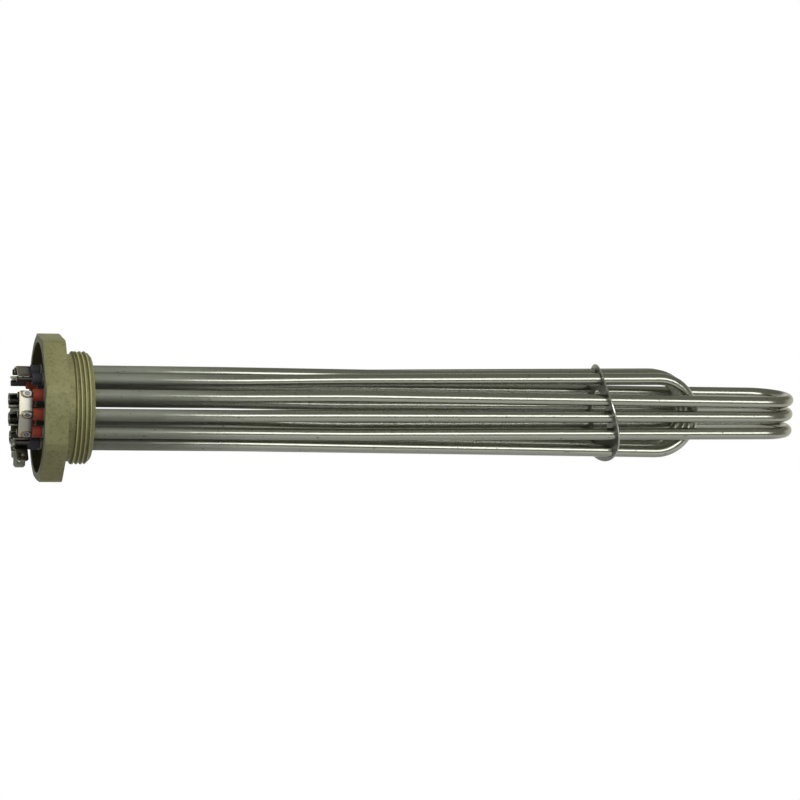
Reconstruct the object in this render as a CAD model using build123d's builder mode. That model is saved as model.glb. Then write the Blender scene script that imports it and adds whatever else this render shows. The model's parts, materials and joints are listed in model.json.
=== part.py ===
"""Screw plug immersion heater: six U-bent tubular elements brazed into a threaded brass plug.

Millimetres. +X runs along the thread axis from the head's sealing face to the immersed tips, +Z is up
and the star bridge of the long elements faces -Y. The origin is on the thread axis at the sealing face.
"""

import os
from collections import namedtuple
from math import atan, cos, hypot, radians, sin, tan

from build123d import *

os.makedirs("parts", exist_ok=True)

# Plug: G2 parallel pipe thread, octagonal head with its corners turned round
thread_diameter = 59.614
thread_depth = 1.479
plug_reach = 15.0
undercut_width = 4.4
lead_chamfer = 2.4
head_flats = 75.0
head_sides = 8
head_turned = 79.6
head_thickness = 12.4
head_corner_cut = 2.0
head_cut_angle = 20.0
rim_wall = 3.2
recess_depth = 9.4
recess_fillet = 1.2

# Element legs and sheaths
leg_circle_radius = 19.5
leg_step = 30.0
hole_turn = 2.0
sheath_diameter = 6.5
sheath_wall = 0.7
braze_gap = 0.05
sheath_setback = 1.0
fill_gap = 0.02

# Lengths from the sealing face to the outside of each bend
long_reach = 405.0
short_reach = 348.0

# Straight cold ends, then a slight set at a knee: where it is, how far it drops, how far it spreads
cold_end = 90.0
flare_radius = 1200.0
long_knee = 150.0
long_drops = (-0.1, 0.1, 0.65)
front_knee = 150.0
front_spread = 0.95
back_knee = 150.0
back_spread = 0.5
middle_knee = 205.0
middle_drop = 0.7

# Bends: half the distance between leg centres, and the rise of the tip
long_bend = 17.5
long_gather = 0.9
long_rises = (0.3, 1.25, 1.0)
side_bend = 20.2
side_rise = 0.4
middle_bend = 21.5
middle_rise = 0.15
tip_flat = 0.6

# Terminal pins, cold length and winding
pin_diameter = 3.2
pin_stand = 8.0
pin_chamfer = 0.3
cold_length = 60.0
coil_diameter = 3.2
coil_inner_diameter = 1.8

# End beads
bead_diameter = 6.2
bead_length = 5.2
bead_edge = 0.5
spigot_length = 3.0
spigot_gap = 0.1
bead_bore_gap = 0.05

# Terminal sheet: star bridges and blade tabs
sheet = 0.8
seat_gap = 0.05
bridge_width = 6.8
bridge_gap = 0.5
bridge_overhang = 1.5
bridge_corner = 0.9
bridge_bend = 1.5
tab_gap = 1.1
roll_width = 7.5
roll_bore = 4.7
roll_lip_angle = 72.0
blade_width = 6.3
blade_length = 8.0
blade_clip = 1.1
blade_hole = 1.65
blade_hole_from_tip = 3.8
blade_bend = 1.0

# Spacer plate
plate_setback = 52.9
plate_thickness = 1.0
plate_lean_y = 0.125
plate_lean_z = 0.16
plate_clearance = 0.12
plate_rim = 1.4
plate_web = 2.4

# Values worked out from the sizes above
head_front = -head_thickness
recess_floor = head_front + recess_depth
sheath_end = head_front + sheath_setback
bead_end = sheath_end - bead_length
pin_end = bead_end - pin_stand
pin_inner_end = plug_reach + cold_length
thread_radius = thread_diameter / 2
neck_radius = thread_radius - thread_depth
recess_radius = head_flats / 2 - rim_wall
turned_radius = head_turned / 2
sheath_radius = sheath_diameter / 2
sheath_bore = sheath_diameter - 2 * sheath_wall
pin_radius = pin_diameter / 2
plate_x = short_reach - plate_setback

# Leg angles from the top towards -Y: the long set's star ends centre on 90 degrees, the short set's on 0
long_angle, short_angle = 90, 0
long_angles = [long_angle + leg_step * place for place in (-1, 0, 1)]
short_angles = [short_angle + leg_step * place for place in (1, 0, -1)]

Element = namedtuple("Element", "star tab knee drop spread reach bend gather rise")
elements = {}
for name, angle, drop, rise in zip(("upper", "middle", "lower"), long_angles, long_drops, long_rises):
    elements[f"long_{name}"] = Element(
        angle, -angle, long_knee, drop, 0, long_reach, long_bend, long_gather, rise
    )
for name, angle, knee, drop, spread, bend, rise in (
    ("front", short_angles[0], front_knee, 0, front_spread, side_bend, side_rise),
    ("middle", short_angles[1], middle_knee, middle_drop, 0, middle_bend, middle_rise),
    ("back", short_angles[2], back_knee, 0, back_spread, side_bend, side_rise),
):
    elements[f"short_{name}"] = Element(angle, 180 - angle, knee, drop, spread, short_reach, bend, 1, rise)
leg_angles = [angle for shape in elements.values() for angle in (shape.star, shape.tab)]

# Each rolled tab: how far its blade leans back from straight down, and its roll's lift over the pin
roll_play = roll_bore / 2 - pin_radius - seat_gap
tab_shapes = {
    "long_middle": (57, roll_play),
    "long_lower": (12, roll_play),
    "short_front": (-52, -roll_play),
    "short_middle": (2, -roll_play),
    "short_back": (4, -roll_play),
}
flat_tab = "long_upper"


def leg_centre(angle, turn=hole_turn):
    """Centre of a leg on the leg circle, as a vector in the plane of the sealing face."""
    place = radians(angle + turn)
    return Vector(0, -leg_circle_radius * sin(place), leg_circle_radius * cos(place))


def route_points(element, start):
    """Corner points of an element's centre line, with both ends at x = start."""
    shape = elements[element]
    middle = (leg_centre(shape.star, 0) + leg_centre(shape.tab, 0)) * 0.5
    half = (leg_centre(shape.star, 0) - leg_centre(shape.tab, 0)) * 0.5
    knee = Vector(shape.knee, 0, -shape.drop) + middle
    tip = Vector(shape.reach - sheath_radius, 0, shape.rise) + middle * shape.gather
    legs = []
    for side, centre in ((1, leg_centre(shape.star)), (-1, leg_centre(shape.tab))):
        across = half.normalized() * side
        legs.append([
            Vector(start, 0, 0) + centre,
            Vector(cold_end, 0, 0) + centre,
            knee + across * (half.length + shape.spread),
            tip + across * shape.bend,
        ])
    return legs[0] + legs[1][::-1]


def bend_radius(element, points):
    """Radius of the U bend that leaves tip_flat straight between its two quarter turns."""
    turn = (points[3] - points[2]).get_angle(points[4] - points[3])
    return (elements[element].bend - tip_flat / 2) / tan(radians(turn) / 2)


def swept_round(element, start, outer_diameter, inner_diameter):
    """Round bar or tube along an element's centre line."""
    points = route_points(element, start)
    bend = bend_radius(element, points)
    with BuildPart() as swept:
        with BuildLine() as route:
            FilletPolyline(*points, radius=[flare_radius] * 2 + [bend] * 2 + [flare_radius] * 2)
        with BuildSketch(Plane(origin=points[0], x_dir=(0, 1, 0), z_dir=(1, 0, 0))):
            Circle(outer_diameter / 2)
            if inner_diameter:
                Circle(inner_diameter / 2, mode=Mode.SUBTRACT)
        sweep(path=route.wires()[0])
    return swept


def leg_on_plate(element, side, plate):
    """Where a leg's centre line meets the middle of the spacer plate."""
    points = route_points(element, sheath_end)
    knee, corner = (points[2], points[3]) if side == "star" else (points[5], points[4])
    share = (plate.origin - knee).dot(plate.z_dir) / (corner - knee).dot(plate.z_dir)
    return knee + (corner - knee) * share


def save(part, name):
    """Label a finished piece and write it."""
    part.label = name
    export_step(part, f"parts/{name}.step")


# Screw plug: octagonal head, undercut, thread body, terminal recess and leg holes
with BuildPart() as screw_plug:
    with BuildSketch(Plane.YZ.offset(head_front)):
        RegularPolygon(head_flats / 2, head_sides, major_radius=False, rotation=180 / head_sides)
    extrude(amount=head_thickness)
    with BuildSketch(Plane.XY):
        with BuildLine():
            Polyline(
                (head_front, 0),
                (head_front, turned_radius - head_corner_cut),
                (head_front + head_corner_cut * tan(radians(head_cut_angle)), turned_radius),
                (0, turned_radius),
                (0, 0),
                close=True,
            )
        make_face()
    revolve(axis=Axis.X, mode=Mode.INTERSECT)
    with BuildSketch(Plane.XY):
        with BuildLine():
            Polyline(
                (0, 0),
                (0, neck_radius),
                (undercut_width - thread_depth, neck_radius),
                (undercut_width, thread_radius),
                (plug_reach - lead_chamfer, thread_radius),
                (plug_reach, thread_radius - lead_chamfer),
                (plug_reach, 0),
                close=True,
            )
        make_face()
    revolve(axis=Axis.X)
    with BuildSketch(Plane.YZ.offset(head_front)):
        Circle(recess_radius)
    extrude(amount=recess_depth, mode=Mode.SUBTRACT)
    floor_edges = screw_plug.edges().filter_by(GeomType.CIRCLE)
    floor_edges = floor_edges.filter_by_position(Axis.X, recess_floor - seat_gap, recess_floor + seat_gap)
    fillet(floor_edges, recess_fillet)
    with BuildSketch(Plane.YZ.offset(recess_floor)):
        with Locations(*[(leg_centre(angle).Y, leg_centre(angle).Z) for angle in leg_angles]):
            Circle(sheath_radius + braze_gap)
    extrude(amount=plug_reach - recess_floor, mode=Mode.SUBTRACT)
save(screw_plug.part, "screw_plug")

# Elements: sheath, pressed magnesia and resistance coil, all along the same centre line
for element in elements:
    sheath = swept_round(element, sheath_end, sheath_diameter, sheath_bore)
    save(sheath.part, f"{element}_sheath")
    core_start = sheath_end + spigot_length
    core_diameter = sheath_bore - 2 * fill_gap
    core = swept_round(element, core_start, core_diameter, max(pin_diameter, coil_diameter) + 2 * fill_gap)
    save(core.part, f"{element}_core")
    coil = swept_round(element, pin_inner_end, coil_diameter, coil_inner_diameter)
    save(coil.part, f"{element}_coil")

# Terminal pins and insulating end beads, one of each in every sheath end
for element, shape in elements.items():
    for side, angle in (("star", shape.star), ("tab", shape.tab)):
        centre = leg_centre(angle)
        axis_line = Axis((0, centre.Y, centre.Z), (1, 0, 0))
        with BuildPart() as pin:
            with BuildSketch(Plane(origin=(pin_end, centre.Y, centre.Z), x_dir=(0, 1, 0), z_dir=(1, 0, 0))):
                Circle(pin_radius)
            extrude(amount=pin_inner_end - pin_end)
            chamfer(pin.edges().group_by(Axis.X)[0], pin_chamfer)
        save(pin.part, f"{element}_{side}_pin")

        with BuildPart() as bead:
            with BuildSketch(Plane(origin=(0, centre.Y, centre.Z), x_dir=(1, 0, 0), z_dir=(0, -1, 0))):
                with BuildLine():
                    Polyline(
                        (bead_end, pin_radius + bead_bore_gap),
                        (bead_end, bead_diameter / 2),
                        (sheath_end, bead_diameter / 2),
                        (sheath_end, sheath_bore / 2 - spigot_gap),
                        (sheath_end + spigot_length, sheath_bore / 2 - spigot_gap),
                        (sheath_end + spigot_length, pin_radius + bead_bore_gap),
                        close=True,
                    )
                make_face()
            revolve(axis=axis_line)
            rims = bead.edges().filter_by(GeomType.CIRCLE)
            fillet(rims.filter_by(lambda rim: rim.radius > sheath_bore / 2), bead_edge)
        save(bead.part, f"{element}_{side}_bead")

# Star bridges: a strip bent over the outer side of three neighbouring pins
bridge_start = bead_end - bridge_gap
bridge_radius = leg_circle_radius + (pin_radius + seat_gap + sheet / 2) / cos(radians(leg_step / 2))
for name, middle_angle in (("long_star_bridge", long_angle), ("short_star_bridge", short_angle)):
    with BuildPart() as bridge:
        with BuildSketch(Plane(origin=(bridge_start, 0, 0), x_dir=(0, -1, 0), z_dir=(-1, 0, 0))) as strip:
            with BuildLine() as line:
                places = [radians(middle_angle + hole_turn + leg_step * step) for step in (-1, 0, 1)]
                over = [Vector(sin(place), cos(place)) * bridge_radius for place in places]
                first = over[0] + (over[0] - over[1]).normalized() * bridge_overhang
                last = over[2] + (over[2] - over[1]).normalized() * bridge_overhang
                FilletPolyline(first, over[1], last, radius=bridge_bend)
            trace(line_width=sheet)
        extrude(amount=bridge_width)
        fillet(bridge.edges().filter_by(lambda edge: abs(edge.length - sheet) < seat_gap), bridge_corner)
    save(bridge.part, name)

# Blade tabs: a sheet roll that hooks round its pin and turns out into a blade with a hole
tab_start = bead_end - tab_gap
roll_radius = (roll_bore + sheet) / 2


def blade_outline(root, heading, length):
    """Outline of one blade, rooted at a point and heading along a direction across the axis."""
    half = blade_width / 2
    with BuildSketch(Plane(origin=root, x_dir=(1, 0, 0), z_dir=(0, -heading.Z, heading.Y))) as outline:
        with BuildLine():
            Polyline(
                (-half, 0),
                (-half, length - blade_clip),
                (blade_clip - half, length),
                (half - blade_clip, length),
                (half, length - blade_clip),
                (half, 0),
                close=True,
            )
        make_face()
        with Locations((0, length - blade_hole_from_tip)):
            Circle(blade_hole / 2, mode=Mode.SUBTRACT)
    return outline.sketch


for element, (lean, lift) in tab_shapes.items():
    centre = leg_centre(elements[element].tab)
    section_plane = Plane(origin=(tab_start, centre.Y, centre.Z), x_dir=(0, -1, 0), z_dir=(-1, 0, 0))
    with BuildPart() as tab:
        with BuildSketch(section_plane) as roll:
            with BuildLine() as hook:
                CenterArc((0, lift), roll_radius, roll_lip_angle, 270 - roll_lip_angle)
                turn = JernArc((0, lift - roll_radius), (1, 0), blade_bend, -90 - lean)
            trace(line_width=sheet)
        extrude(amount=roll_width)
        end, heading = turn @ 1, turn % 1
        root = Vector(tab_start - blade_width / 2, centre.Y - end.X, centre.Z + end.Y)
        outline = blade_outline(root, Vector(0, -heading.X, heading.Y), blade_length)
        extrude(outline, amount=sheet / 2, both=True)
    save(tab.part, f"{element}_blade_tab")

# Flat blade tab: the same blade, welded flat on the top of its pin and pointing away to the back
centre = leg_centre(elements[flat_tab].tab)
with BuildPart() as flat_blade:
    lift = pin_radius + seat_gap + sheet / 2
    root = Vector(tab_start - blade_width / 2, centre.Y - pin_radius, centre.Z + lift)
    extrude(blade_outline(root, Vector(0, 1, 0), blade_length + 2 * pin_radius), amount=sheet / 2, both=True)
save(flat_blade.part, f"{flat_tab}_blade_tab")

# Spacer plate: thin disc that leans on the legs, one hole for each leg and an open centre
lean_angle = atan(hypot(plate_lean_y, plate_lean_z))
plate = Plane(origin=(plate_x, 0, 0), x_dir=(0, 1, 0), z_dir=(1, plate_lean_y, plate_lean_z))
plate_hole = sheath_diameter / cos(lean_angle) + plate_thickness * tan(lean_angle) + 2 * plate_clearance
crossings = [
    plate.to_local_coords(leg_on_plate(element, side, plate))
    for element in elements
    for side in ("star", "tab")
]
leg_distances = [hypot(point.X, point.Y) for point in crossings]
with BuildPart() as spacer_plate:
    with BuildSketch(plate):
        Circle(max(leg_distances) + plate_hole / 2 + plate_rim)
        Circle(min(leg_distances) - plate_hole / 2 - plate_web, mode=Mode.SUBTRACT)
        with Locations(*[(point.X, point.Y) for point in crossings]):
            Circle(plate_hole / 2, mode=Mode.SUBTRACT)
    extrude(amount=plate_thickness / 2, both=True)
save(spacer_plate.part, "spacer_plate")
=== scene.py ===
"""Screw plug immersion heater: six U-bent stainless elements brazed into a threaded brass plug.

Metres. +X runs along the thread axis from the head's sealing face to the bends, +Z is up, and the
star bridge of the long elements faces -Y.
"""

import json
from math import atan, cos, pi, radians, sin, tan

import bpy
from mathutils import Matrix, Vector

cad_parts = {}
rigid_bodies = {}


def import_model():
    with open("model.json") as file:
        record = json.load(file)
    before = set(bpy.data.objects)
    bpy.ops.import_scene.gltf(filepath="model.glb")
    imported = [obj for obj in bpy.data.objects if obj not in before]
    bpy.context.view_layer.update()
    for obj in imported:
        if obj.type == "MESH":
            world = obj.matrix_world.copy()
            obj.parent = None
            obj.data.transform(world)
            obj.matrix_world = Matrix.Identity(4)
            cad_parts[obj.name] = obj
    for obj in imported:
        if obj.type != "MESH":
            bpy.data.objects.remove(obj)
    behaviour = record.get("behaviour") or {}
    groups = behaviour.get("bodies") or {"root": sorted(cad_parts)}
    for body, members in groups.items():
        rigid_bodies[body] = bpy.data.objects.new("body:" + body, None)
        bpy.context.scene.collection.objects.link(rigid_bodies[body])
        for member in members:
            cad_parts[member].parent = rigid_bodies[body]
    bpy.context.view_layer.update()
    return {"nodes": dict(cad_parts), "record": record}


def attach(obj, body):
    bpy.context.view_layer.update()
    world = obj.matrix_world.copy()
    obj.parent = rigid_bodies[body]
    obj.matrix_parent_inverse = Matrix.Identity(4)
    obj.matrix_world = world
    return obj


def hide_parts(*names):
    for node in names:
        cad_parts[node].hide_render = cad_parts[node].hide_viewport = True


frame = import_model()
nodes = frame["nodes"]
MM = 0.001

# Legs and star welds, in millimetres and degrees
LEG_CIRCLE = 19.5
LEG_COUNT = 12
HOLE_TURN = 2.0
STRIP_RADIUS = 22.4
WELD_X = -19.7
WELD_HALF_WIDTH = 2.5
WELD_HALF_HEIGHT = 1.75
WELD_CLEAR = 14.0

# Middle of the spacer plate and its bright rim, in millimetres
PLATE_X = 295.0
BRIGHT_RIM = 26.7

# Where a finish begins and where it is complete, in millimetres along the axis, or off it where named so
TUBE_BRIGHT = (55, 125)
TUBE_RECESS_SHADE = (2, -2)
TUBE_CUT_END = (-10.4, -10.7)
TUBE_BEND_TINT = (395, 420)
CREST_OFF_AXIS = (29.6, 29.8)
THREAD_SIDE = (0.8, 1.2)
RECESS_OFF_AXIS = (34.45, 34.35)
RECESS_SHADE = (-2.5, -2.8)
HEAD_FRONT_SHADE = (-12.1, -12.3)
STRIP_REFLECTION_FADE = (-22.5, -17.5)

# Camera: lens and place fitted to the outlines of the plug, the legs and the bends
CAMERA_YAW = 13.07
CAMERA_RISE = 8.2
CAMERA_ROLL = 2.49
FOCAL_PIXELS = 3304
PICTURE_WIDTH = 800
SEAT_PIXEL = (60.28, 407.60)
SEAT_DEPTH = 1.7382
SENSOR_WIDTH = 36


def add_camera():
    """Camera that sees the sealing face's centre at SEAT_PIXEL, SEAT_DEPTH away along its sight."""
    yaw, rise, roll = radians(CAMERA_YAW), radians(CAMERA_RISE), radians(CAMERA_ROLL)
    forward = Vector((sin(yaw) * cos(rise), cos(yaw) * cos(rise), -sin(rise)))
    level = Vector((cos(yaw), -sin(yaw), 0))
    upright = level.cross(forward)
    right = level * cos(roll) + upright * sin(roll)
    up = upright * cos(roll) - level * sin(roll)
    half = PICTURE_WIDTH / 2
    across = (SEAT_PIXEL[0] - half) * SEAT_DEPTH / FOCAL_PIXELS
    above = (half - SEAT_PIXEL[1]) * SEAT_DEPTH / FOCAL_PIXELS
    place = -(right * across + up * above + forward * SEAT_DEPTH)
    data = bpy.data.cameras.new("camera")
    data.sensor_width = SENSOR_WIDTH
    data.lens = FOCAL_PIXELS / PICTURE_WIDTH * SENSOR_WIDTH
    data.clip_start = 0.05
    data.clip_end = 20
    camera = bpy.data.objects.new("camera", data)
    bpy.context.scene.collection.objects.link(camera)
    turn = Matrix((right, up, -forward)).transposed().to_4x4()
    camera.matrix_world = Matrix.Translation(place) @ turn
    bpy.context.scene.camera = camera


add_camera()
bpy.context.scene.view_settings.view_transform = "Standard"


def colour(code):
    """sRGB hex code as a linear colour with full alpha."""
    parts = [int(code[i : i + 2], 16) / 255 for i in (0, 2, 4)]
    linear = [p / 12.92 if p <= 0.04045 else ((p + 0.055) / 1.055) ** 2.4 for p in parts]
    return (*linear, 1.0)


def add(tree, kind, sockets=None, **settings):
    """Adds one node with its settings, and its sockets as values or as (node, output) links."""
    node = tree.nodes.new(kind)
    for name, value in settings.items():
        setattr(node, name, value)
    for name, value in (sockets or {}).items():
        if isinstance(value, tuple) and isinstance(value[0], bpy.types.Node):
            tree.links.new(value[0].outputs[value[1]], node.inputs[name])
        else:
            node.inputs[name].default_value = value
    return node


def new_material(name):
    """Empty node material, its tree and its Object coordinates in metres."""
    material = bpy.data.materials.new(name)
    material.use_nodes = True
    tree = material.node_tree
    tree.nodes.clear()
    return material, tree, (add(tree, "ShaderNodeTexCoord"), "Object")


def show(material, shader):
    """Puts a finished shader on a material's output."""
    add(material.node_tree, "ShaderNodeOutputMaterial", {"Surface": (shader, 0)})
    return material


def tube_steel():
    """Drawn and bright-annealed stainless tube: a sharp line of light along it, over fine die lines. The
    stretch beside the brazed plug has been heated and is dull dark grey, the cut ends are bright, and the
    bends carry a light brown heat tint."""
    material, tree, place = new_material("drawn_stainless_tube")
    split = add(tree, "ShaderNodeSeparateXYZ", {0: place})
    # Die lines 0.7 mm across and 80 mm long, wiped patches of 4 to 11 mm, specks of 1 to 2 mm
    lines_place = add(tree, "ShaderNodeMapping", {"Vector": place, "Scale": (12, 1500, 1500)})
    die_lines = add(tree, "ShaderNodeTexNoise", {"Vector": (lines_place, 0), "Scale": 1.0, "Detail": 3.0})
    wipes_place = add(tree, "ShaderNodeMapping", {"Vector": place, "Scale": (90, 260, 260)})
    wipes = add(tree, "ShaderNodeTexNoise", {"Vector": (wipes_place, 0), "Scale": 1.0, "Detail": 4.0})
    specks_place = add(tree, "ShaderNodeMapping", {"Vector": place, "Scale": (500, 900, 900)})
    specks = add(tree, "ShaderNodeTexNoise", {"Vector": (specks_place, 0), "Scale": 1.0, "Detail": 1.0})
    speck = add(tree, "ShaderNodeMapRange", {0: (specks, 0), 1: 0.71, 2: 0.76})
    # From dull to bright over 70 mm, with an uneven edge
    uneven = add(
        tree, "ShaderNodeMath", {0: (wipes, 0), 1: 0.03, 2: (split, 0)}, operation="MULTIPLY_ADD"
    )
    bright = add(
        tree,
        "ShaderNodeMapRange",
        {0: (uneven, 0), 1: TUBE_BRIGHT[0] * MM, 2: TUBE_BRIGHT[1] * MM},
        interpolation_type="SMOOTHSTEP",
    )
    dull = add(
        tree, "ShaderNodeMix", {0: (wipes, 0), 6: colour("6d7063"), 7: colour("7f8275")}, data_type="RGBA"
    )
    clean = add(
        tree, "ShaderNodeMix", {0: (die_lines, 0), 6: colour("9c9e92"), 7: colour("afb1a5")}, data_type="RGBA"
    )
    # Painted shade: darkened inside the plug's recess, where little light reaches; bright where the end is
    # cut
    inside = add(
        tree,
        "ShaderNodeMapRange",
        {0: (split, 0), 1: TUBE_RECESS_SHADE[0] * MM, 2: TUBE_RECESS_SHADE[1] * MM, 3: 0.0, 4: 0.8},
    )
    dull = add(tree, "ShaderNodeMix", {0: (inside, 0), 6: (dull, 2), 7: colour("2b2a22")}, data_type="RGBA")
    cut_end = add(
        tree, "ShaderNodeMapRange", {0: (split, 0), 1: TUBE_CUT_END[0] * MM, 2: TUBE_CUT_END[1] * MM}
    )
    dull = add(tree, "ShaderNodeMix", {0: (cut_end, 0), 6: (dull, 2), 7: colour("8f8c80")}, data_type="RGBA")
    dull = add(tree, "ShaderNodeMix", {0: (speck, 0), 6: (dull, 2), 7: colour("4a4840")}, data_type="RGBA")
    clean = add(tree, "ShaderNodeMix", {0: (speck, 0), 6: (clean, 2), 7: colour("5f5d52")}, data_type="RGBA")
    # Heat tint on the long bends
    bend = add(
        tree,
        "ShaderNodeMapRange",
        {0: (uneven, 0), 1: TUBE_BEND_TINT[0] * MM, 2: TUBE_BEND_TINT[1] * MM, 3: 0.0, 4: 0.35},
    )
    clean = add(tree, "ShaderNodeMix", {0: (bend, 0), 6: (clean, 2), 7: colour("7d7260")}, data_type="RGBA")
    rough = add(tree, "ShaderNodeMath", {0: (wipes, 0), 1: 0.08, 2: 0.2}, operation="MULTIPLY_ADD")
    bump = add(tree, "ShaderNodeBump", {"Height": (die_lines, 0), "Distance": 0.0000012})
    oxide = add(
        tree, "ShaderNodeBsdfPrincipled", {"Base Color": (dull, 2), "Metallic": 0.15, "Roughness": 0.6}
    )
    bare = add(
        tree,
        "ShaderNodeBsdfPrincipled",
        {"Base Color": (clean, 2), "Metallic": 1.0, "Roughness": (rough, 0), "Normal": (bump, 0)},
    )
    return show(material, add(tree, "ShaderNodeMixShader", {0: (bright, 0), 1: (oxide, 0), 2: (bare, 0)}))


def plug_brass():
    """Machined free-cutting brass under a thin dull olive tarnish: matt and finely speckled, lighter on the
    thread's crests where they rub and as a painted highlight, with painted shade darkening the front face and
    the recess."""
    material, tree, place = new_material("tarnished_machined_brass")
    split = add(tree, "ShaderNodeSeparateXYZ", {0: place})
    # Grain of 0.5 mm, stains of 14 mm, dark specks of 2 mm, sparse light nicks of 1.4 mm
    grain = add(tree, "ShaderNodeTexNoise", {"Vector": place, "Scale": 2200.0, "Detail": 2.0})
    stain = add(tree, "ShaderNodeTexNoise", {"Vector": place, "Scale": 70.0, "Detail": 5.0})
    stain = add(tree, "ShaderNodeMapRange", {0: (stain, 0), 1: 0.35, 2: 0.65})
    specks = add(tree, "ShaderNodeTexNoise", {"Vector": place, "Scale": 550.0, "Detail": 5.0})
    speck = add(tree, "ShaderNodeMapRange", {0: (specks, 0), 1: 0.5, 2: 0.8, 4: 0.6})
    nicks = add(tree, "ShaderNodeTexNoise", {"Vector": place, "Scale": 700.0, "Detail": 1.0})
    nick = add(tree, "ShaderNodeMapRange", {0: (nicks, 0), 1: 0.74, 2: 0.79})
    speckle = add(tree, "ShaderNodeMapRange", {0: (grain, 0), 1: 0.3, 2: 0.7})
    metal = add(
        tree, "ShaderNodeMix", {0: (stain, 0), 6: colour("74724c"), 7: colour("87865e")}, data_type="RGBA"
    )
    metal = add(
        tree, "ShaderNodeMix", {0: (speckle, 0), 6: (metal, 2), 7: colour("8d8c64")}, data_type="RGBA"
    )
    metal = add(tree, "ShaderNodeMix", {0: (speck, 0), 6: (metal, 2), 7: colour("4e4c31")}, data_type="RGBA")
    metal = add(tree, "ShaderNodeMix", {0: (nick, 0), 6: (metal, 2), 7: colour("a8a683")}, data_type="RGBA")
    # Distance from the thread axis: crests beyond it, the recess within it
    off_axis = add(tree, "ShaderNodeCombineXYZ", {1: (split, 1), 2: (split, 2)})
    radius = add(tree, "ShaderNodeVectorMath", {0: (off_axis, 0)}, operation="LENGTH")
    crest = add(
        tree, "ShaderNodeMapRange", {0: (radius, 1), 1: CREST_OFF_AXIS[0] * MM, 2: CREST_OFF_AXIS[1] * MM}
    )
    reach = add(
        tree, "ShaderNodeMapRange", {0: (split, 0), 1: THREAD_SIDE[0] * MM, 2: THREAD_SIDE[1] * MM}
    )
    # Painted highlight: the crests are lightened partly for rubbed wear and partly for the light they catch
    rubbed_and_highlight = add(tree, "ShaderNodeMath", {0: (crest, 0), 1: (reach, 0)}, operation="MULTIPLY")
    metal = add(tree, "ShaderNodeMix", {0: (rubbed_and_highlight, 0), 6: (metal, 2), 7: colour("aeab78")}, data_type="RGBA")
    # Painted shade: the recess is darkened where little light gets in
    bore = add(
        tree, "ShaderNodeMapRange", {0: (radius, 1), 1: RECESS_OFF_AXIS[0] * MM, 2: RECESS_OFF_AXIS[1] * MM}
    )
    depth = add(
        tree,
        "ShaderNodeMapRange",
        {0: (split, 0), 1: RECESS_SHADE[0] * MM, 2: RECESS_SHADE[1] * MM, 3: 0.0, 4: 0.8},
    )
    recess_painted_shade = add(tree, "ShaderNodeMath", {0: (bore, 0), 1: (depth, 0)}, operation="MULTIPLY")
    metal = add(tree, "ShaderNodeMix", {0: (recess_painted_shade, 0), 6: (metal, 2), 7: colour("38331f")}, data_type="RGBA")
    # Painted shade: the head's front face and rim are darkened to the tone they have in this light
    front_face_shade = add(
        tree,
        "ShaderNodeMapRange",
        {0: (split, 0), 1: HEAD_FRONT_SHADE[0] * MM, 2: HEAD_FRONT_SHADE[1] * MM, 3: 0.0, 4: 0.75},
    )
    metal = add(tree, "ShaderNodeMix", {0: (front_face_shade, 0), 6: (metal, 2), 7: colour("3a382c")}, data_type="RGBA")
    rough = add(tree, "ShaderNodeMath", {0: (grain, 0), 1: 0.2, 2: 0.42}, operation="MULTIPLY_ADD")
    bump = add(tree, "ShaderNodeBump", {"Height": (grain, 0), "Distance": 0.00001})
    shader = add(
        tree,
        "ShaderNodeBsdfPrincipled",
        {
            "Base Color": (metal, 2),
            "Metallic": 0.15,
            "Roughness": (rough, 0),
            "Specular IOR Level": 0.2,
            "Normal": (bump, 0),
        },
    )
    return show(material, shader)


def rolled_metal(name, dark, light, roughness, grains, depth):
    """Rolled or drawn metal, from a dark and a light shade of one colour and its grains per metre."""
    material, tree, place = new_material(name)
    scaled = add(tree, "ShaderNodeMapping", {"Vector": place, "Scale": grains})
    grain = add(tree, "ShaderNodeTexNoise", {"Vector": (scaled, 0), "Scale": 1.0, "Detail": 3.0})
    metal = add(tree, "ShaderNodeMix", {0: (grain, 0), 6: colour(dark), 7: colour(light)}, data_type="RGBA")
    rough = add(tree, "ShaderNodeMath", {0: (grain, 0), 1: 0.1, 2: roughness}, operation="MULTIPLY_ADD")
    bump = add(tree, "ShaderNodeBump", {"Height": (grain, 0), "Distance": depth})
    shader = add(
        tree,
        "ShaderNodeBsdfPrincipled",
        {"Base Color": (metal, 2), "Metallic": 1.0, "Roughness": (rough, 0), "Normal": (bump, 0)},
    )
    return show(material, shader)


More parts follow.
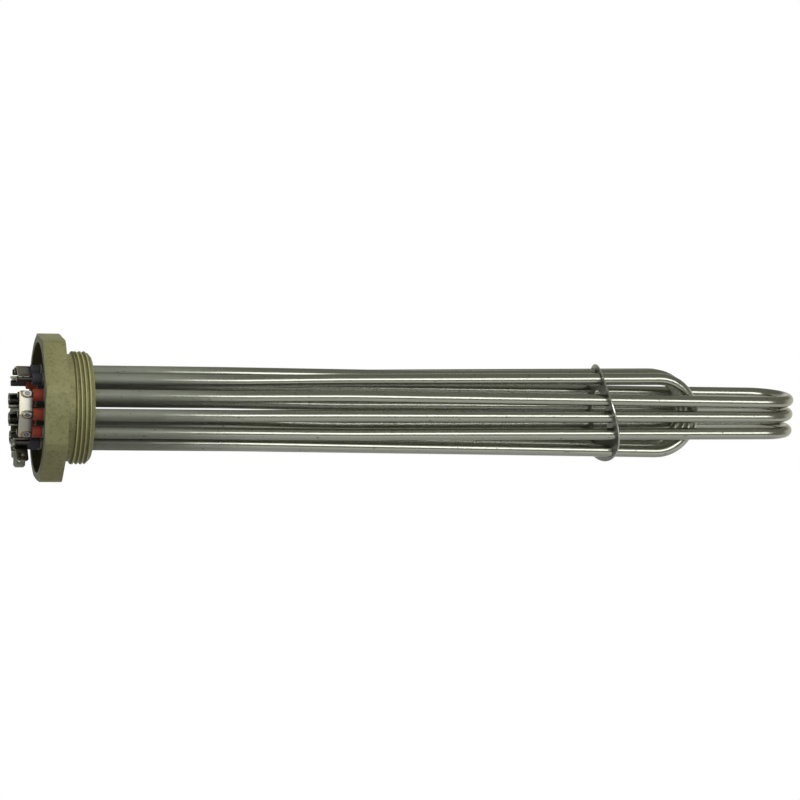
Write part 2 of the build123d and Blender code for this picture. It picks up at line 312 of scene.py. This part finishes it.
def stamped_plate():
    """Dull stainless sheet whose sheared outer rim is bright: partly bare sheared metal and partly a painted
    highlight.
    """
    material, tree, place = new_material("stamped_stainless_sheet")
    grain = add(tree, "ShaderNodeTexNoise", {"Vector": place, "Scale": 700.0, "Detail": 3.0})
    # Lean and twist keep a point's distance from the middle of the plate
    off_middle = add(tree, "ShaderNodeVectorMath", {0: place, 1: (PLATE_X * MM, 0, 0)}, operation="DISTANCE")
    # Painted highlight: the rim gets a lighter colour, partly bare sheared metal and partly the light it
    # catches
    bright_rim_and_highlight = add(
        tree, "ShaderNodeMapRange", {0: (off_middle, 1), 1: (BRIGHT_RIM - 0.1) * MM, 2: BRIGHT_RIM * MM}
    )
    sheet = add(
        tree, "ShaderNodeMix", {0: (grain, 0), 6: colour("6c6d66"), 7: colour("7f8079")}, data_type="RGBA"
    )
    metal = add(tree, "ShaderNodeMix", {0: (bright_rim_and_highlight, 0), 6: (sheet, 2), 7: colour("bfbfb5")}, data_type="RGBA")
    dull = add(tree, "ShaderNodeMath", {0: (grain, 0), 1: 0.15, 2: 0.34}, operation="MULTIPLY_ADD")
    rough = add(tree, "ShaderNodeMix", {0: (bright_rim_and_highlight, 0), 2: (dull, 0), 3: 0.2})
    bump = add(tree, "ShaderNodeBump", {"Height": (grain, 0), "Distance": 0.00001})
    shader = add(
        tree,
        "ShaderNodeBsdfPrincipled",
        {"Base Color": (metal, 2), "Metallic": 1.0, "Roughness": (rough, 0), "Normal": (bump, 0)},
    )
    return show(material, shader)


def welded_strip():
    """Nickel-plated strip, painted greyer towards the beads where its reflection of the lamp fades, with an
    oval spot weld over each star pin:
    two dark rings round a bluish grey middle, in a brown heat tint."""
    material, tree, place = new_material("nickel_plated_strip")
    split = add(tree, "ShaderNodeSeparateXYZ", {0: place})
    scaled = add(tree, "ShaderNodeMapping", {"Vector": place, "Scale": (60, 900, 900)})
    grain = add(tree, "ShaderNodeTexNoise", {"Vector": (scaled, 0), "Scale": 1.0, "Detail": 3.0})
    nickel = add(
        tree, "ShaderNodeMix", {0: (grain, 0), 6: colour("9a9685"), 7: colour("aaa696")}, data_type="RGBA"
    )
    # The star bridges lie in front of the legs and above them; the tabs behind and below are painted darker,
    # partly duller metal and partly painted shade
    front = add(tree, "ShaderNodeMath", {0: (split, 1), 1: -WELD_CLEAR * MM}, operation="LESS_THAN")
    level = add(tree, "ShaderNodeMath", {0: (split, 2), 1: -WELD_CLEAR * MM}, operation="GREATER_THAN")
    front = add(tree, "ShaderNodeMath", {0: (front, 0), 1: (level, 0)}, operation="MULTIPLY")
    above = add(tree, "ShaderNodeMath", {0: (split, 2), 1: WELD_CLEAR * MM}, operation="GREATER_THAN")
    bridge = add(tree, "ShaderNodeMath", {0: (front, 0), 1: (above, 0)}, operation="MAXIMUM")
    tab_dull_and_shade = add(
        tree, "ShaderNodeMix", {0: (grain, 0), 6: colour("6f7064"), 7: colour("818274")}, data_type="RGBA"
    )
    nickel = add(tree, "ShaderNodeMix", {0: (bridge, 0), 6: (tab_dull_and_shade, 2), 7: (nickel, 2)}, data_type="RGBA")
    # Painted reflection: the bridges turn greyer towards the beads, as their reflection of the lamp fades
    # along them
    reflection_fade = add(
        tree,
        "ShaderNodeMapRange",
        {0: (split, 0), 1: STRIP_REFLECTION_FADE[0] * MM, 2: STRIP_REFLECTION_FADE[1] * MM, 3: 0.0, 4: 0.8},
    )
    reflection_fade = add(tree, "ShaderNodeMath", {0: (reflection_fade, 0), 1: (bridge, 0)}, operation="MULTIPLY")
    nickel = add(tree, "ShaderNodeMix", {0: (reflection_fade, 0), 6: (nickel, 2), 7: colour("878c8c")}, data_type="RGBA")
    # Distance from the nearest weld: along the strip's width, and round the circle of the pins
    turn = add(tree, "ShaderNodeMath", {0: (split, 1), 1: -1.0}, operation="MULTIPLY")
    turn = add(tree, "ShaderNodeMath", {0: (turn, 0), 1: (split, 2)}, operation="ARCTAN2")
    turn = add(tree, "ShaderNodeMath", {0: (turn, 0), 1: radians(HOLE_TURN)}, operation="SUBTRACT")
    half_step = pi / LEG_COUNT
    turn = add(tree, "ShaderNodeMath", {0: (turn, 0), 1: half_step, 2: -half_step}, operation="WRAP")
    beside = add(
        tree, "ShaderNodeMath", {0: (turn, 0), 1: STRIP_RADIUS / WELD_HALF_HEIGHT}, operation="MULTIPLY"
    )
    along = add(
        tree,
        "ShaderNodeMapRange",
        {0: (split, 0), 1: WELD_X * MM, 2: (WELD_X + WELD_HALF_WIDTH) * MM},
        clamp=False,
    )
    spot = add(tree, "ShaderNodeCombineXYZ", {0: (along, 0), 1: (beside, 0)})
    reach = add(tree, "ShaderNodeVectorMath", {0: (spot, 0)}, operation="LENGTH")
    ragged = add(tree, "ShaderNodeTexNoise", {"Vector": place, "Scale": 500.0, "Detail": 2.0})
    reach = add(tree, "ShaderNodeMath", {0: (ragged, 0), 1: 0.35, 2: (reach, 1)}, operation="MULTIPLY_ADD")
    rings = add(tree, "ShaderNodeValToRGB", {0: (reach, 0)})
    stops = rings.color_ramp.elements
    stops[0].position, stops[0].color = 0.45, colour("6f7376")
    stops[1].position, stops[1].color = 0.88, colour("8f8c84")
    stops.new(0.62).color = colour("2c2b2e")
    stops.new(0.72).color = colour("7d7c77")
    outer = add(tree, "ShaderNodeMapRange", {0: (reach, 0), 1: 1.08, 2: 1.16})
    spot_shade = add(
        tree, "ShaderNodeMix", {0: (outer, 0), 6: (rings, 0), 7: colour("3a3330")}, data_type="RGBA"
    )
    halo = add(tree, "ShaderNodeMapRange", {0: (reach, 0), 1: 1.2, 2: 1.27})
    spot_shade = add(
        tree, "ShaderNodeMix", {0: (halo, 0), 6: (spot_shade, 2), 7: colour("93764c")}, data_type="RGBA"
    )
    near = add(tree, "ShaderNodeMapRange", {0: (reach, 0), 1: 1.65, 2: 1.25})
    near = add(tree, "ShaderNodeMath", {0: (near, 0), 1: (bridge, 0)}, operation="MULTIPLY")
    nickel = add(tree, "ShaderNodeMix", {0: (near, 0), 6: (nickel, 2), 7: (spot_shade, 2)}, data_type="RGBA")
    rough = add(tree, "ShaderNodeMath", {0: (grain, 0), 1: 0.1, 2: 0.3}, operation="MULTIPLY_ADD")
    dents = add(tree, "ShaderNodeMath", {0: (reach, 0), 1: (near, 0)}, operation="MULTIPLY")
    bump = add(tree, "ShaderNodeBump", {"Height": (dents, 0), "Distance": 0.00015})
    shader = add(
        tree,
        "ShaderNodeBsdfPrincipled",
        {"Base Color": (nickel, 2), "Metallic": 1.0, "Roughness": (rough, 0), "Normal": (bump, 0)},
    )
    return show(material, shader)


def fired_clay(name, dark, light):
    """Matt unglazed ceramic with a gritty skin of 0.8 mm grains."""
    material, tree, place = new_material(name)
    grit = add(tree, "ShaderNodeTexNoise", {"Vector": place, "Scale": 1200.0, "Detail": 3.0})
    clay = add(tree, "ShaderNodeMix", {0: (grit, 0), 6: colour(dark), 7: colour(light)}, data_type="RGBA")
    bump = add(tree, "ShaderNodeBump", {"Height": (grit, 0), "Distance": 0.00004})
    shader = add(
        tree, "ShaderNodeBsdfPrincipled", {"Base Color": (clay, 2), "Roughness": 0.75, "Normal": (bump, 0)}
    )
    return show(material, shader)


steel_tube = tube_steel()
brass = plug_brass()
plate_steel = stamped_plate()
terminal_strip = welded_strip()
# Painted shade: the pins' steel is darker than bare drawn steel, for the shade they lie in under the bridges
# and beads
pin_steel = rolled_metal("drawn_steel_pin_in_painted_shade", "3b3936", "504d49", 0.4, (60, 1200, 1200), 0.000005)
coil_wire = rolled_metal("oxidised_resistance_wire", "4a4742", "6b6760", 0.5, (800, 800, 800), 0.00001)
red_clay = fired_clay("red_brown_ceramic", "94321f", "b3482e")
grey_clay = fired_clay("blue_grey_ceramic", "33323b", "464550")
magnesia = fired_clay("pressed_magnesia", "d8d5c9", "e8e6dd")

FINISHES = {
    "plug_brass": brass,
    "sheath_steel": steel_tube,
    "plate_steel": plate_steel,
    "terminal_sheet": terminal_strip,
    "pin_steel": pin_steel,
    "bead_red": red_clay,
    "bead_grey": grey_clay,
    "magnesia": magnesia,
    "coil_wire": coil_wire,
}
for part in frame["record"]["subparts"]:
    item = nodes[part["node"]]
    item.data.materials.clear()
    item.data.materials.append(FINISHES[part["material_slot"]])


# Modelling by hand: lines drawn from one vertex, turned on the thread axis, cut and joined
TURNING_STEPS = 128
WELD_DISTANCE = 1e-7


def pick(piece):
    """Selects one piece alone and makes it active."""
    bpy.ops.object.select_all(action="DESELECT")
    bpy.context.view_layer.objects.active = piece
    piece.select_set(True)


def edit(piece, select="SELECT"):
    """Opens a piece alone in edit mode with everything selected, or nothing."""
    pick(piece)
    bpy.ops.object.mode_set(mode="EDIT")
    bpy.ops.mesh.select_mode(type="VERT")
    bpy.ops.mesh.select_all(action=select)


def close_edit():
    """Leaves edit mode."""
    bpy.ops.object.mode_set(mode="OBJECT")


def drawn_line(name, points):
    """Line of edges through points in metres, drawn from one vertex; it is left open in edit mode."""
    bpy.ops.object.select_all(action="DESELECT")
    bpy.ops.mesh.primitive_plane_add(size=MM)
    piece = bpy.context.object
    piece.name = name
    edit(piece)
    bpy.ops.mesh.merge(type="CENTER")
    bpy.ops.transform.translate(value=points[0])
    for before, after in zip(points, points[1:]):
        step = [b - a for a, b in zip(before, after)]
        bpy.ops.mesh.extrude_vertices_move(TRANSFORM_OT_translate={"value": step})
    return piece


def turned(name, profile):
    """Closed shape turned about the thread axis from a profile of (along, radius) in millimetres."""
    piece = drawn_line(name, [(along * MM, 0, radius * MM) for along, radius in profile])
    bpy.ops.mesh.select_all(action="SELECT")
    bpy.ops.mesh.spin(steps=TURNING_STEPS, angle=radians(360), center=(0, 0, 0), axis=(1, 0, 0))
    bpy.ops.mesh.select_all(action="SELECT")
    bpy.ops.mesh.remove_doubles(threshold=WELD_DISTANCE)
    bpy.ops.mesh.normals_make_consistent(inside=False)
    close_edit()
    return piece


def finish_modifier(piece, kind, **settings):
    """Adds a modifier with its settings and applies it."""
    pick(piece)
    modifier = piece.modifiers.new(kind.lower(), kind)
    for name, value in settings.items():
        setattr(modifier, name, value)
    bpy.ops.object.modifier_apply(modifier=modifier.name)


def combine(piece, tool, operation):
    """Cuts, joins or intersects a piece with a tool, and removes the tool."""
    finish_modifier(piece, "BOOLEAN", object=tool, operation=operation, solver="EXACT")
    bpy.data.objects.remove(tool)


def smooth(piece, angle=35):
    """Smooth shading up to an angle between faces."""
    pick(piece)
    bpy.ops.object.shade_smooth_by_angle(angle=radians(angle))


def fit_piece(piece, material, slot, *replaced):
    """Gives a finished piece its material and its place in the part; the slot is not used."""
    piece.data.materials.clear()
    piece.data.materials.append(material)
    if replaced:
        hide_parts(*replaced)
    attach(piece, "root")


def grow_node(node):
    """Copy of a CAD node as one welded mesh."""
    piece = nodes[node].copy()
    piece.data = nodes[node].data.copy()
    for key in list(piece.keys()):
        del piece[key]
    piece.parent = None
    bpy.context.scene.collection.objects.link(piece)
    edit(piece)
    bpy.ops.mesh.remove_doubles(threshold=WELD_DISTANCE)
    close_edit()
    return piece


def leg_place(leg, along=0):
    """Move to one of the legs on their circle, in metres, at a distance along the axis in millimetres."""
    angle = radians(360 * leg / LEG_COUNT + HOLE_TURN)
    return Matrix.Translation((along * MM, -LEG_CIRCLE * sin(angle) * MM, LEG_CIRCLE * cos(angle) * MM))


# Screw plug, in millimetres
HEAD_FRONT = -12.4
HEAD_FLATS = 75.0
HEAD_SIDES = 8
HEAD_TURNED = 79.6
CORNER_CUT = 2.0
CORNER_CUT_ANGLE = 20
EDGE_BREAK = 0.3
RECESS_RADIUS = 34.3
RECESS_FLOOR = -3.0
RECESS_FILLET = 1.2
THREAD_RADIUS = 29.807
THREAD_PITCH = 2.309
NECK_RADIUS = 28.328
NECK_END = 4.7
FLANK_END = 5.4
LEAD_START = 12.6
PLUG_REACH = 15.0
LEAD_RADIUS = 27.4
GROOVE_DEPTH = 1.42
GROOVE_ROOT = 0.16
GROOVE_FLANK = 27.5
GROOVE_CLEAR = 0.2
GROOVE_START = 6.2
GROOVE_TURNS = 5
LEG_HOLE = 3.3
LEG_DRILL = 40.0
DRILL_MIDDLE = 5.0


def thread_groove():
    """Helical cutter of the groove between the thread's crests."""
    spread = tan(radians(GROOVE_FLANK))
    root, top = THREAD_RADIUS - GROOVE_DEPTH, THREAD_RADIUS + GROOVE_CLEAR
    half_top = GROOVE_ROOT + (top - root) * spread
    section = [(-GROOVE_ROOT, root), (GROOVE_ROOT, root), (half_top, top), (-half_top, top)]
    points = [((GROOVE_START + along) * MM, 0, radius * MM) for along, radius in section]
    groove = drawn_line("thread_groove", points + points[:1])
    bpy.ops.mesh.select_all(action="SELECT")
    bpy.ops.mesh.remove_doubles(threshold=WELD_DISTANCE)
    close_edit()
    finish_modifier(
        groove,
        "SCREW",
        axis="X",
        angle=radians(360),
        screw_offset=THREAD_PITCH * MM,
        iterations=GROOVE_TURNS,
        steps=TURNING_STEPS,
        render_steps=TURNING_STEPS,
    )
    edit(groove)
    bpy.ops.mesh.remove_doubles(threshold=WELD_DISTANCE)
    bpy.ops.mesh.select_mode(type="EDGE")
    bpy.ops.mesh.select_all(action="DESELECT")
    bpy.ops.mesh.select_non_manifold()
    bpy.ops.mesh.edge_face_add()
    bpy.ops.mesh.select_all(action="SELECT")
    bpy.ops.mesh.normals_make_consistent(inside=False)
    close_edit()
    return groove


def make_plug():
    """Octagonal head with turned corners and a recess, undercut and a cut thread with rolled-off ends."""
    corner = HEAD_FLATS / 2 / cos(radians(180 / HEAD_SIDES))
    bpy.ops.object.select_all(action="DESELECT")
    bpy.ops.mesh.primitive_cylinder_add(
        vertices=HEAD_SIDES, radius=corner * MM, depth=-HEAD_FRONT * MM, end_fill_type="NGON"
    )
    plug = bpy.context.object
    plug.name = "threaded_plug"
    half_side = Matrix.Rotation(radians(180 / HEAD_SIDES), 4, "Z")
    lie = Matrix.Rotation(radians(90), 4, "Y")
    plug.data.transform(Matrix.Translation((HEAD_FRONT / 2 * MM, 0, 0)) @ lie @ half_side)
    run = CORNER_CUT * tan(radians(CORNER_CUT_ANGLE))
    rim = HEAD_TURNED / 2
    turning = turned(
        "corner_turning",
        [
            (HEAD_FRONT - 1, 0),
            (HEAD_FRONT - 1, rim - CORNER_CUT - 1 / tan(radians(CORNER_CUT_ANGLE))),
            (HEAD_FRONT + run, rim),
            (1, rim),
            (1, 0),
        ],
    )
    combine(plug, turning, "INTERSECT")
    finish_modifier(
        plug, "BEVEL", width=EDGE_BREAK * MM, segments=2, limit_method="ANGLE", angle_limit=radians(20)
    )
    body = turned(
        "thread_blank",
        [
            (-1, 0),
            (-1, NECK_RADIUS),
            (NECK_END, NECK_RADIUS),
            (FLANK_END, THREAD_RADIUS),
            (LEAD_START, THREAD_RADIUS),
            (PLUG_REACH, LEAD_RADIUS),
            (PLUG_REACH, 0),
        ],
    )
    combine(body, thread_groove(), "DIFFERENCE")
    combine(plug, body, "UNION")
    recess = turned(
        "recess_cutter",
        [
            (HEAD_FRONT - 1, 0),
            (HEAD_FRONT - 1, RECESS_RADIUS + EDGE_BREAK + 1),
            (HEAD_FRONT + EDGE_BREAK, RECESS_RADIUS),
            (RECESS_FLOOR - RECESS_FILLET, RECESS_RADIUS),
            (RECESS_FLOOR - RECESS_FILLET / 3, RECESS_RADIUS - RECESS_FILLET / 3),
            (RECESS_FLOOR, RECESS_RADIUS - RECESS_FILLET),
            (RECESS_FLOOR, 0),
        ],
    )
    combine(plug, recess, "DIFFERENCE")
    for leg in range(LEG_COUNT):
        bpy.ops.object.select_all(action="DESELECT")
        bpy.ops.mesh.primitive_cylinder_add(vertices=48, radius=LEG_HOLE * MM, depth=LEG_DRILL * MM)
        hole = bpy.context.object
        hole.data.transform(leg_place(leg, DRILL_MIDDLE) @ lie)
        combine(plug, hole, "DIFFERENCE")
    smooth(plug, 30)
    fit_piece(plug, brass, "plug_brass", "screw_plug")


make_plug()

# Sheet edges, broken by tumbling after they are stamped and bent, in millimetres
SHEET_EDGE = 0.12


def soften_sheet(node):
    """Copy of a bent sheet piece with every sharp edge broken."""
    piece = grow_node(node)
    piece.name = node + "_softened"
    edit(piece)
    bpy.ops.mesh.dissolve_limited(angle_limit=radians(1))
    close_edit()
    finish_modifier(
        piece, "BEVEL", width=SHEET_EDGE * MM, segments=2, limit_method="ANGLE", angle_limit=radians(50)
    )
    smooth(piece, 35)
    fit_piece(piece, terminal_strip, "terminal_sheet", node)


for part in frame["record"]["subparts"]:
    if part["material_slot"] == "terminal_sheet":
        soften_sheet(part["node"])

# Braze rings at the plug's inner face, in millimetres
SHEATH_RADIUS = 3.25
BRAZE_RISE = 1.1
BRAZE_SPREAD = 1.3


def make_braze():
    """Concave ring of braze round every leg where it leaves the plug, modelled once and copied."""
    start, wall = PLUG_REACH - BRAZE_RISE / 2, SHEATH_RADIUS - 0.1
    ring = turned(
        "braze_rings",
        [
            (start, wall),
            (start, SHEATH_RADIUS + BRAZE_SPREAD),
            (PLUG_REACH + BRAZE_RISE / 8, SHEATH_RADIUS + BRAZE_SPREAD * 0.9),
            (PLUG_REACH + BRAZE_RISE / 4, SHEATH_RADIUS + BRAZE_SPREAD * 0.4),
            (PLUG_REACH + BRAZE_RISE / 2, SHEATH_RADIUS + BRAZE_SPREAD * 0.15),
            (PLUG_REACH + BRAZE_RISE, SHEATH_RADIUS + 0.02),
            (PLUG_REACH + BRAZE_RISE, wall),
            (start, wall),
        ],
    )
    smooth(ring, 60)
    rings = []
    for leg in range(LEG_COUNT):
        copy = ring.copy()
        copy.data = ring.data.copy()
        bpy.context.scene.collection.objects.link(copy)
        copy.data.transform(leg_place(leg))
        rings.append(copy)
    bpy.data.objects.remove(ring)
    bpy.ops.object.select_all(action="DESELECT")
    for ring in rings:
        ring.select_set(True)
    bpy.context.view_layer.objects.active = rings[0]
    bpy.ops.object.join()
    rings[0].name = "braze_rings"
    fit_piece(rings[0], brass, "plug_brass")


make_braze()

# Spacer plate, in millimetres, with its lean as a slope and its twist in degrees
PLATE_THICKNESS = 0.8
PLATE_EDGE = 0.15
PLATE_TRIM = 0.6
PLATE_LEAN_Y = 0.08
PLATE_LEAN_Z = 0.11
PLATE_TWIST = 20.0
PLATE_CLEARANCE = 0.12
PLATE_CUTS = range(-20, 21, 4)


def make_spacer():
    """Thin stamped disc, open in the middle and twisted by the legs that pass through its holes."""
    centre = Vector((PLATE_X * MM, 0, 0))
    reaches = [(vertex.co - centre).length / MM for vertex in nodes["spacer_plate"].data.vertices]
    inner, rim, half = min(reaches), max(reaches) - PLATE_TRIM, PLATE_THICKNESS / 2
    plate = turned(
        "twisted_spacer_plate",
        [
            (-half, inner),
            (-half, rim - PLATE_EDGE),
            (PLATE_EDGE - half, rim),
            (half - PLATE_EDGE, rim),
            (half, rim - PLATE_EDGE),
            (half, inner),
            (-half, inner),
        ],
    )
    edit(plate)
    for cut in PLATE_CUTS:
        for normal in ((0, 1, 0), (0, 0, 1)):
            bpy.ops.mesh.select_all(action="SELECT")
            bpy.ops.mesh.bisect(plane_co=[cut * MM * part for part in normal], plane_no=normal)
    close_edit()
    finish_modifier(
        plate, "SIMPLE_DEFORM", deform_method="TWIST", deform_axis="Y", angle=radians(PLATE_TWIST)
    )
    lean = Matrix.Rotation(atan(PLATE_LEAN_Y), 4, "Z") @ Matrix.Rotation(-atan(PLATE_LEAN_Z), 4, "Y")
    plate.data.transform(Matrix.Translation(centre) @ lean)
    for part in frame["record"]["subparts"]:
        if part["material_slot"] == "sheath_steel":
            leg = grow_node(part["node"])
            edit(leg)
            bpy.ops.transform.shrink_fatten(value=PLATE_CLEARANCE * MM)
            close_edit()
            combine(plate, leg, "DIFFERENCE")
    # The slugs left inside the tubes are loose from the rim and go
    edit(plate, "DESELECT")
    close_edit()
    far = max(plate.data.vertices, key=lambda vertex: (vertex.co - centre).length)
    far.select = True
    bpy.ops.object.mode_set(mode="EDIT")
    bpy.ops.mesh.select_linked()
    bpy.ops.mesh.select_all(action="INVERT")
    bpy.ops.mesh.delete(type="VERT")
    close_edit()
    smooth(plate, 30)
    fit_piece(plate, plate_steel, "plate_steel", "spacer_plate")


make_spacer()


# Stage, in metres: pale floor under the part, plain studio light
FLOOR_DROP = 0.42
FLOOR_RADIUS = 1.2
FLOOR_MIRRORED = 0.7
FLOOR_FADE = (0.40, 0.64)
PART_MIDDLE = 0.2
FILL_LIGHT = 0.19
ROOM_GREY = 0.28


def add_floor():
    """Pale floor disc; the camera and mirror-like metal see it fade to white away from the part."""
    bpy.ops.object.select_all(action="DESELECT")
    bpy.ops.mesh.primitive_circle_add(vertices=64, radius=FLOOR_RADIUS, fill_type="NGON")
    floor = bpy.context.object
    floor.name = "floor"
    middle = (PART_MIDDLE, 0, -FLOOR_DROP)
    floor.data.transform(Matrix.Translation(middle))
    material, tree, place = new_material("pale_studio_floor")
    paint = add(tree, "ShaderNodeBsdfPrincipled", {"Base Color": colour("e6e6e4"), "Roughness": 0.8})
    away = add(tree, "ShaderNodeVectorMath", {0: place, 1: middle}, operation="DISTANCE")
    fade = add(
        tree,
        "ShaderNodeMapRange",
        {0: (away, 1), 1: FLOOR_FADE[0], 2: FLOOR_FADE[1]},
        interpolation_type="SMOOTHSTEP",
    )
    rays = add(tree, "ShaderNodeLightPath")
    mirrored = add(
        tree, "ShaderNodeMath", {0: (rays, "Is Glossy Ray"), 1: FLOOR_MIRRORED}, operation="MULTIPLY"
    )
    seen = add(tree, "ShaderNodeMath", {0: (rays, "Is Camera Ray"), 1: (mirrored, 0)}, operation="MAXIMUM")
    seen = add(tree, "ShaderNodeMath", {0: (seen, 0), 1: (rays, "Is Transmission Ray")}, operation="MAXIMUM")
    share = add(tree, "ShaderNodeMath", {0: (fade, 0), 1: (seen, 0)}, operation="MULTIPLY")
    white = add(tree, "ShaderNodeEmission", {"Color": colour("ffffff"), "Strength": 1.0})
    floor.data.materials.append(
        show(material, add(tree, "ShaderNodeMixShader", {0: (share, 0), 1: (paint, 0), 2: (white, 0)}))
    )


def add_world():
    """Even grey light all round; the camera sees white, and metal sees a room of one grey whose back wall
    is white up to the height of the lamps."""
    world = bpy.data.worlds.new("studio")
    bpy.context.scene.world = world
    world.use_nodes = True
    tree = world.node_tree
    tree.nodes.clear()
    rays = add(tree, "ShaderNodeLightPath")
    way = add(tree, "ShaderNodeSeparateXYZ", {0: (add(tree, "ShaderNodeTexCoord"), "Generated")})
    low = add(tree, "ShaderNodeMapRange", {0: (way, 2), 1: 0.5, 2: 0.1}, interpolation_type="SMOOTHSTEP")
    behind = add(tree, "ShaderNodeMapRange", {0: (way, 1), 1: -0.3, 2: 0.3}, interpolation_type="SMOOTHSTEP")
    wall = add(tree, "ShaderNodeMath", {0: (low, 0), 1: (behind, 0)}, operation="MULTIPLY")
    room = add(tree, "ShaderNodeMapRange", {0: (wall, 0), 3: ROOM_GREY, 4: 1.0})
    light = add(tree, "ShaderNodeBackground", {"Color": colour("ffffff"), "Strength": FILL_LIGHT})
    studio = add(tree, "ShaderNodeBackground", {"Color": colour("f7f8ea"), "Strength": (room, 0)})
    white = add(tree, "ShaderNodeBackground", {"Color": colour("ffffff"), "Strength": 1.0})
    mirrored = add(tree, "ShaderNodeMixShader", {0: (rays, "Is Glossy Ray"), 1: (light, 0), 2: (studio, 0)})
    seen = add(
        tree,
        "ShaderNodeMath",
        {0: (rays, "Is Camera Ray"), 1: (rays, "Is Transmission Ray")},
        operation="MAXIMUM",
    )
    blend = add(tree, "ShaderNodeMixShader", {0: (seen, 0), 1: (mirrored, 0), 2: (white, 0)})
    add(tree, "ShaderNodeOutputWorld", {"Surface": (blend, 0)})


def add_lamp(name, width, height, distance, azimuth, rise, watts, **seen_by):
    """Soft box that faces the middle of the part; azimuth 0 is in front of -Y and turns towards +X."""
    data = bpy.data.lights.new(name, "AREA")
    data.shape = "RECTANGLE"
    data.size = width
    data.size_y = height
    data.energy = watts
    lamp = bpy.data.objects.new(name, data)
    bpy.context.scene.collection.objects.link(lamp)
    turn, tilt = radians(azimuth), radians(rise)
    away = Vector((sin(turn) * cos(tilt), -cos(turn) * cos(tilt), sin(tilt)))
    lamp.location = Vector((PART_MIDDLE, 0, 0)) + away * distance
    lamp.rotation_euler = away.to_track_quat("Z", "Y").to_euler()
    for name, value in seen_by.items():
        setattr(lamp, name, value)


add_floor()
add_world()
add_lamp("overhead_box", 1.6, 1.0, 1.6, 12, 55, 25, visible_glossy=False)
add_lamp("front_strip", 2.2, 0.5, 1.5, 0, 19, 14, visible_diffuse=False)
